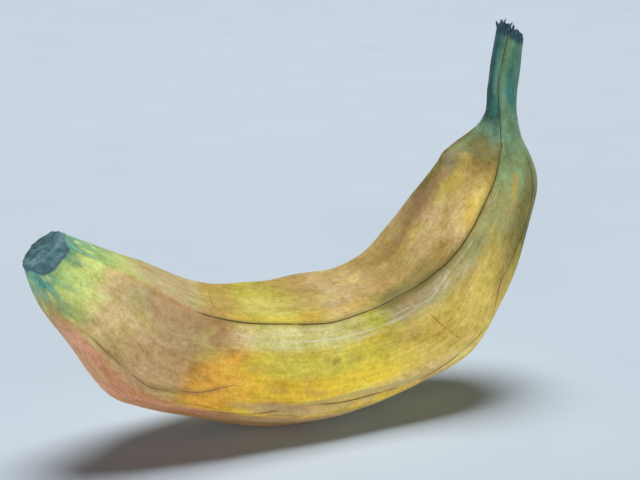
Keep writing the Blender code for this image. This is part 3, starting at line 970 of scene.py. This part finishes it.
def dry_ends(colour, place, tints):
    """The slate scar and the torn end, both with ragged edges.

    Gives the colour and the share of dry skin. The scar reaches further on the side at +z of the
    straightened fruit, which faces -Y. Its slate is darker on the far side and paler towards -Y:
    painted shade and light.
    """
    along = place.part(0)
    sides = place.part(2)
    ragged = along + (place.noise(1.6, 3.0) - 0.5) * 1.6
    edge = 0.5 + sides.step(3.5, 6.8, 2.3)
    scar = (ragged - edge).step(0.45, -0.35)
    slate = place.noise(2.6, 3.0, 0.6).ramp((0.34, tints["deep_slate"]), (0.66, tints["slate"]))
    rim = abs(ragged - edge + 0.3).step(0.50, 0.10, 0.45) * sides.step(1.5, 3.5)
    # The slate is dimmed on the far side and lifted towards -Y: painted shade and light.
    slate = slate.under(tints["indigo"], rim).dimmed(0.62 + sides.step(-6.0, 1.5, 0.62))
    fibres = place.grain(0.08, 0.5)
    torn = fibres.ramp((0.3, tints["indigo"]), (0.7, tints["deep_slate"]))
    end = (along + (fibres - 0.5) * 3.0).step(LENGTH - 2.8, LENGTH - 1.2)
    return colour.under(slate, scar).under(torn, end), scar.math("MAXIMUM", scar, end)


def skin_height(place, dry):
    """Relief too fine for the mesh: long fibres, pores and dry crust."""
    fibres = place.grain(0.06, 0.8, 3.0, 0.6)
    pores = place.grain(0.6, 0.55, 2.0, 0.6)
    crust = place.noise(0.7, 4.0, 0.7)
    return fibres * 0.10 + pores * 0.07 + crust * dry * 0.55


def skin_material(tints):
    """Waxy ripe skin, dry and rough at both ends."""
    material, shader, start = new_material("banana_skin")
    place = start.make("ShaderNodeAttribute", {"attribute_name": "unbent"}, output=1)
    gaps = {
        name: start.make("ShaderNodeAttribute", {"attribute_name": name}, output=2)
        for name in ("upper_ridge", "lower_ridge", "any_ridge", *LINES_ALONG, *LINES_ACROSS)
    }
    colour = skin_colour(place, gaps, tints)
    colour = skin_grain(colour, place, gaps, tints)
    colour = skin_lines(colour, place, gaps, tints)
    colour, dry = dry_ends(colour, place, tints)
    connect(shader, "Base Color", colour)
    connect(shader, "Roughness", 0.50 + place.noise(4.0, 3.0, 0.6) * 0.14 + dry * 0.3)
    relief = {"Strength": 0.8, "Distance": MM, "Height": skin_height(place, dry)}
    bump = start.make("ShaderNodeBump", {}, relief)
    connect(shader, "Normal", bump)
    shader.inputs["Specular IOR Level"].default_value = 0.22
    return material


def fibre_material(tints):
    """Dry stem fibres, dark with paler streaks along them."""
    material, shader, start = new_material("torn_fibres")
    place = start.make("ShaderNodeTexCoord", {}, {}, output=3)
    streaks = place.vector("MULTIPLY", (1.0, 1.0, 0.15)).noise(0.5 * MM, 3.0)
    colour = streaks.ramp((0.30, tints["indigo"]), (0.75, tints["deep_slate"]))
    connect(shader, "Base Color", colour)
    connect(shader, "Roughness", 0.70 + streaks * 0.25)
    relief = {"Strength": 0.7, "Distance": MM / 2, "Height": streaks}
    bump = start.make("ShaderNodeBump", {}, relief)
    connect(shader, "Normal", bump)
    return material


def floor_material(tint):
    """Smooth pale board with a trace of mottling."""
    material, shader, start = new_material("pale_board")
    place = start.make("ShaderNodeTexCoord", {}, {}, output=3)
    paler = opaque([min(1.0, value * 1.03) for value in tint])
    connect(shader, "Base Color", place.noise(0.05).ramp((0.3, tint), (0.7, paler)))
    shader.inputs["Roughness"].default_value = 0.9
    shader.inputs["Specular IOR Level"].default_value = 0.1
    return material


def strands(cut_rim, way, form):
    """Rings of points of the torn strands, as an array of strand, ring, side and coordinate.

    A strand's centre runs from its foot along its lean by length t, and bends aside by t^2. Its
    radius falls as sqrt(1 - taper t^2) and is flattened across. The strands fan out from the
    middle, and they are longer towards the inner side of the bend.
    """
    draw = np.random.default_rng(form.seed)
    count = form.strand_count
    centre = cut_rim.mean(axis=0)
    turn = (np.arange(count) + draw.uniform(*PLACE_JOG, count)) / count * STRAND_TURNS
    share = np.resize(STRAND_SHARES, count) + draw.uniform(*SHARE_JOG, count)
    place = (turn % 1 * len(cut_rim)).astype(int)
    foot = centre + (cut_rim[place] - centre) * share[:, None]
    lean = way + draw.normal(0, form.lean, (count, 3)) + STRAND_FAN * (foot - centre)
    lean /= np.linalg.norm(lean, axis=1, keepdims=True)
    length = draw.uniform(form.shortest, form.longest, count) + form.slant * (centre - foot)[:, 0]
    radius = draw.uniform(form.thinnest, form.thickest, count)
    bend = draw.normal(0, STRAND_BEND, (count, 3))

    t = np.linspace(0, 1, STRAND_RINGS)[None, :, None]
    reach = (length + STRAND_ROOT)[:, None, None]
    middle = foot[:, None] + lean[:, None] * (t * reach - STRAND_ROOT) + bend[:, None] * t**2
    side = np.cross(lean, draw.normal(size=(count, 3)))
    side /= np.linalg.norm(side, axis=1, keepdims=True)
    across = np.cross(side, lean) * STRAND_FLATNESS
    cosine, sine, _ = circle(np.arange(STRAND_SIDES) * 2 * math.pi / STRAND_SIDES).T[..., None]
    thick = radius[:, None, None] * (1 - STRAND_TAPER * t**2) ** 0.5
    ring = cosine * side[:, None, None] + sine * across[:, None, None]
    return middle[:, :, None] + thick[..., None] * ring


def tint_property(name, about, value):
    label = name.replace("_", " ").capitalize()
    return FloatVectorProperty(
        name=label, description=about, default=value, subtype="COLOR", min=0.0, max=1.0
    )


def length_property(label, about, value):
    """A length that is kept in millimetres."""
    return FloatProperty(name=label, description=about + ", in mm", default=value, min=0.0)


def angle_property(label, about, degrees):
    turn = math.radians(degrees)
    return FloatProperty(name=label, description=about, default=turn, subtype="ANGLE")


class BananaForm(bpy.types.PropertyGroup):
    """Relief of the skin that stands on its plain form."""

    crest_height: length_property("Ridge height", "How far the ridges stand out", 0.45)
    crest_width: length_property("Ridge width", "Half the width of a ridge", 1.5)
    wave_height: length_property("Unevenness", "Height of the slow waves of the faces", 0.28)
    flute_depth: length_property("Neck flutes", "Depth of the flutes of the neck and stem", 0.14)
    crease_depth: length_property("Stem crease", "Depth of the crease up the stem", 0.32)
    tear_height: length_property("Torn rim", "Height of the teeth round the torn end", 1.0)


class BananaTints(bpy.types.PropertyGroup):
    """Colours of the skin, from its dry scar to its torn stem."""

    __annotations__ = {
        name: tint_property(name, about, colour) for name, (about, colour) in TINTS.items()
    }


class TornStem(bpy.types.PropertyGroup):
    """Strands that stand on the torn end of the stem."""

    strand_count: IntProperty(name="Strands", description="How many strands", default=34, min=1)
    shortest: length_property("Shortest", "Shortest strand", 1.1)
    longest: length_property("Longest", "Longest strand", 2.5)
    thinnest: length_property("Thinnest", "Smallest radius of a strand", 0.46)
    thickest: length_property("Thickest", "Largest radius of a strand", 0.82)
    lean: FloatProperty(name="Lean", description="How far strands lean", default=0.18, min=0.0)
    slant: FloatProperty(name="Slant", description="Growth towards the inner side", default=0.22)
    seed: IntProperty(name="Seed", description="Which random strands are drawn", default=7)


class PaleStage(bpy.types.PropertyGroup):
    """Floor, lights and camera."""

    floor: tint_property("floor", "Colour of the floor", (0.515, 0.595, 0.685))
    azimuth: angle_property("Azimuth", "Where the camera stands round the fruit, from -Y", -28)
    elevation: angle_property("Elevation", "How far the camera stands above the level", 16)
    distance: FloatProperty(
        name="Distance", description="From the camera to its aim", default=0.45, unit="LENGTH"
    )
    aim: FloatVectorProperty(
        name="Aim",
        description="Point that the camera looks at",
        default=(0.00834, -0.00096, 0.05336),
        subtype="TRANSLATION",
        unit="LENGTH",
    )
    lens: FloatProperty(name="Lens", description="Focal length, in mm", default=87.3)


def tint_table(tints):
    """Every tint as an opaque colour, by name."""
    return {name: opaque(getattr(tints, name)) for name in TINTS}


class BANANA_OT_grow_skin(bpy.types.Operator):
    """Grow the ridged skin with its blossom scar and the cut of its stem"""

    bl_idname = "banana.grow_skin"
    bl_label = "Grow skin"

    def execute(self, context):
        points, unbent, gaps = whole_skin(context.scene.banana_form)
        rings, count = points.shape[:2]
        quads, fans = tube_faces(rings, count)
        material = skin_material(tint_table(context.scene.banana_tints))
        faces = quads.tolist() + fans.tolist()
        skin = mesh_object("banana_skin", with_poles(points), faces, material)
        store(skin.data, "unbent", "FLOAT_VECTOR", with_poles(unbent))
        for name, values in gaps.items():
            store(skin.data, name, "FLOAT", with_poles(values))
        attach(skin, BODY)
        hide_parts(NODE)
        return {"FINISHED"}


class BANANA_OT_fray_stem(bpy.types.Operator):
    """Stand torn strands on the cut end of the stem"""

    bl_idname = "banana.fray_stem"
    bl_label = "Fray stem"

    def execute(self, context):
        grid = SkinGrid()
        rim = grid.points[-1] + rest_move(grid.points, grid.tangent)
        rings = strands(rim, grid.tangent[-1], context.scene.torn_stem)
        count = rings.shape[0]
        quads, fans = tube_faces(STRAND_RINGS, STRAND_SIDES)
        each = STRAND_RINGS * STRAND_SIDES + 2
        points = np.concatenate([with_poles(strand) for strand in rings])
        shift = (np.arange(count) * each)[:, None, None]
        faces = (quads + shift).reshape(-1, 4).tolist() + (fans + shift).reshape(-1, 3).tolist()
        material = fibre_material(tint_table(context.scene.banana_tints))
        piece = mesh_object("stem_fibres", points, faces, material)
        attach(piece, BODY)
        return {"FINISHED"}


def sweep(material):
    """A round floor whose rim turns up into a wall, so that every view has the same ground.

    The profile runs out on the level, follows a quarter circle to the radius of the wall, and then
    goes straight up.
    """
    bend = WALL_RADIUS - LEVEL_RADIUS
    level = np.linspace(FIRST_RADIUS, LEVEL_RADIUS, LEVEL_RINGS)
    turn = np.linspace(0, math.pi / 2, CURVE_RINGS)[1:]
    radius = np.concatenate([level, LEVEL_RADIUS + bend * np.sin(turn), [WALL_RADIUS]])
    rise = np.concatenate([0 * level, bend * (1 - np.cos(turn)), [WALL_HEIGHT]])
    rings = radius[:, None, None] * circle(np.arange(FLOOR_SIDES) * 2 * math.pi / FLOOR_SIDES)
    rings[..., 2] = rise[:, None] - FLOOR_GAP
    quads, fans = tube_faces(len(radius), FLOOR_SIDES, closed=False)
    points = np.concatenate([rings.reshape(-1, 3), rings[:1].mean(axis=1)])
    faces = quads[:, ::-1].tolist() + fans[:, ::-1].tolist()
    return mesh_object("pale_floor", points / MM, faces, material)


def seen_from(turn, climb):
    """Unit way from the fruit to a place at a turn from -Y, in degrees, and a climb over level."""
    turn, climb = math.radians(turn), math.radians(climb)
    level = math.cos(climb)
    return Vector((math.sin(turn) * level, -math.cos(turn) * level, math.sin(climb)))


def hang(data, turn, climb, away):
    """Hang a lamp so that it faces the fruit from a turn, a climb and a distance."""
    way = seen_from(turn, climb)
    item = bpy.data.objects.new(data.name, data)
    item.location = way * away
    item.rotation_euler = way.to_track_quat("Z", "Y").to_euler()
    item.visible_camera = False
    bpy.context.scene.collection.objects.link(item)


def key_lamp(turn, climb, away, size, power):
    """A round soft lamp overhead."""
    data = bpy.data.lights.new("key", "AREA")
    data.shape = "DISK"
    data.size = size
    data.energy = power
    data.color = KEY_COLOUR
    hang(data, turn, climb, away)


def fill_lamp(name, turn, climb, power):
    """A wide far lamp, low on one side."""
    data = bpy.data.lights.new(name, "SUN")
    data.angle = math.radians(FILL_WIDTH)
    data.energy = power
    data.color = FILL_COLOUR
    hang(data, turn, climb, FILL_DISTANCE)


class BANANA_OT_set_stage(bpy.types.Operator):
    """Lay the floor, hang the lamps and stand the camera"""

    bl_idname = "banana.set_stage"
    bl_label = "Set stage"

    def execute(self, context):
        stage = context.scene.pale_stage
        floor = sweep(floor_material(opaque(stage.floor)))
        floor.visible_shadow = False
        key_lamp(*KEY)
        for settings in FILLS:
            fill_lamp(*settings)
        world = context.scene.world or bpy.data.worlds.new("pale_air")
        context.scene.world = world
        world.use_nodes = True
        air = world.node_tree.nodes["Background"]
        air.inputs["Color"].default_value = AIR_COLOUR
        air.inputs["Strength"].default_value = AIR_STRENGTH

        lens = bpy.data.cameras.new("view")
        lens.lens = stage.lens
        lens.sensor_width = SENSOR_WIDTH
        lens.clip_start = CLIP_START
        lens.dof.use_dof = False
        camera = bpy.data.objects.new("view", lens)
        back = seen_from(math.degrees(stage.azimuth), math.degrees(stage.elevation))
        camera.location = Vector(stage.aim) + back * stage.distance
        camera.rotation_euler = back.to_track_quat("Z", "Y").to_euler()
        context.scene.collection.objects.link(camera)
        context.scene.camera = camera
        context.scene.view_settings.view_transform = "Standard"
        return {"FINISHED"}


class BANANA_PT_sidebar(bpy.types.Panel):
    """The banana's steps and settings"""

    bl_label = "Ripe banana"
    bl_space_type = "VIEW_3D"
    bl_region_type = "UI"
    bl_category = "Banana"

    def draw(self, context):
        scene = context.scene
        for group, (_, operators) in SETTINGS.items():
            box = self.layout.box()
            settings = getattr(scene, group)
            for name in settings.__annotations__:
                box.prop(settings, name)
            for operator in operators:
                box.operator(operator)


# Each group of settings, with the operators that read it.
SETTINGS = {
    "banana_form": (BananaForm, ("banana.grow_skin",)),
    "banana_tints": (BananaTints, ()),
    "torn_stem": (TornStem, ("banana.fray_stem",)),
    "pale_stage": (PaleStage, ("banana.set_stage",)),
}
OTHER_CLASSES = (
    BANANA_OT_grow_skin,
    BANANA_OT_fray_stem,
    BANANA_OT_set_stage,
    BANANA_PT_sidebar,
)


def register():
    for name, (group, _) in SETTINGS.items():
        bpy.utils.register_class(group)
        setattr(bpy.types.Scene, name, PointerProperty(type=group))
    for item in OTHER_CLASSES:
        bpy.utils.register_class(item)


def unregister():
    for item in reversed(OTHER_CLASSES):
        bpy.utils.unregister_class(item)
    for name, (group, _) in SETTINGS.items():
        delattr(bpy.types.Scene, name)
        bpy.utils.unregister_class(group)


def main():
    register()
    bpy.ops.banana.grow_skin()
    bpy.ops.banana.fray_stem()
    bpy.ops.banana.set_stage()


if __name__ == "__main__":
    main()
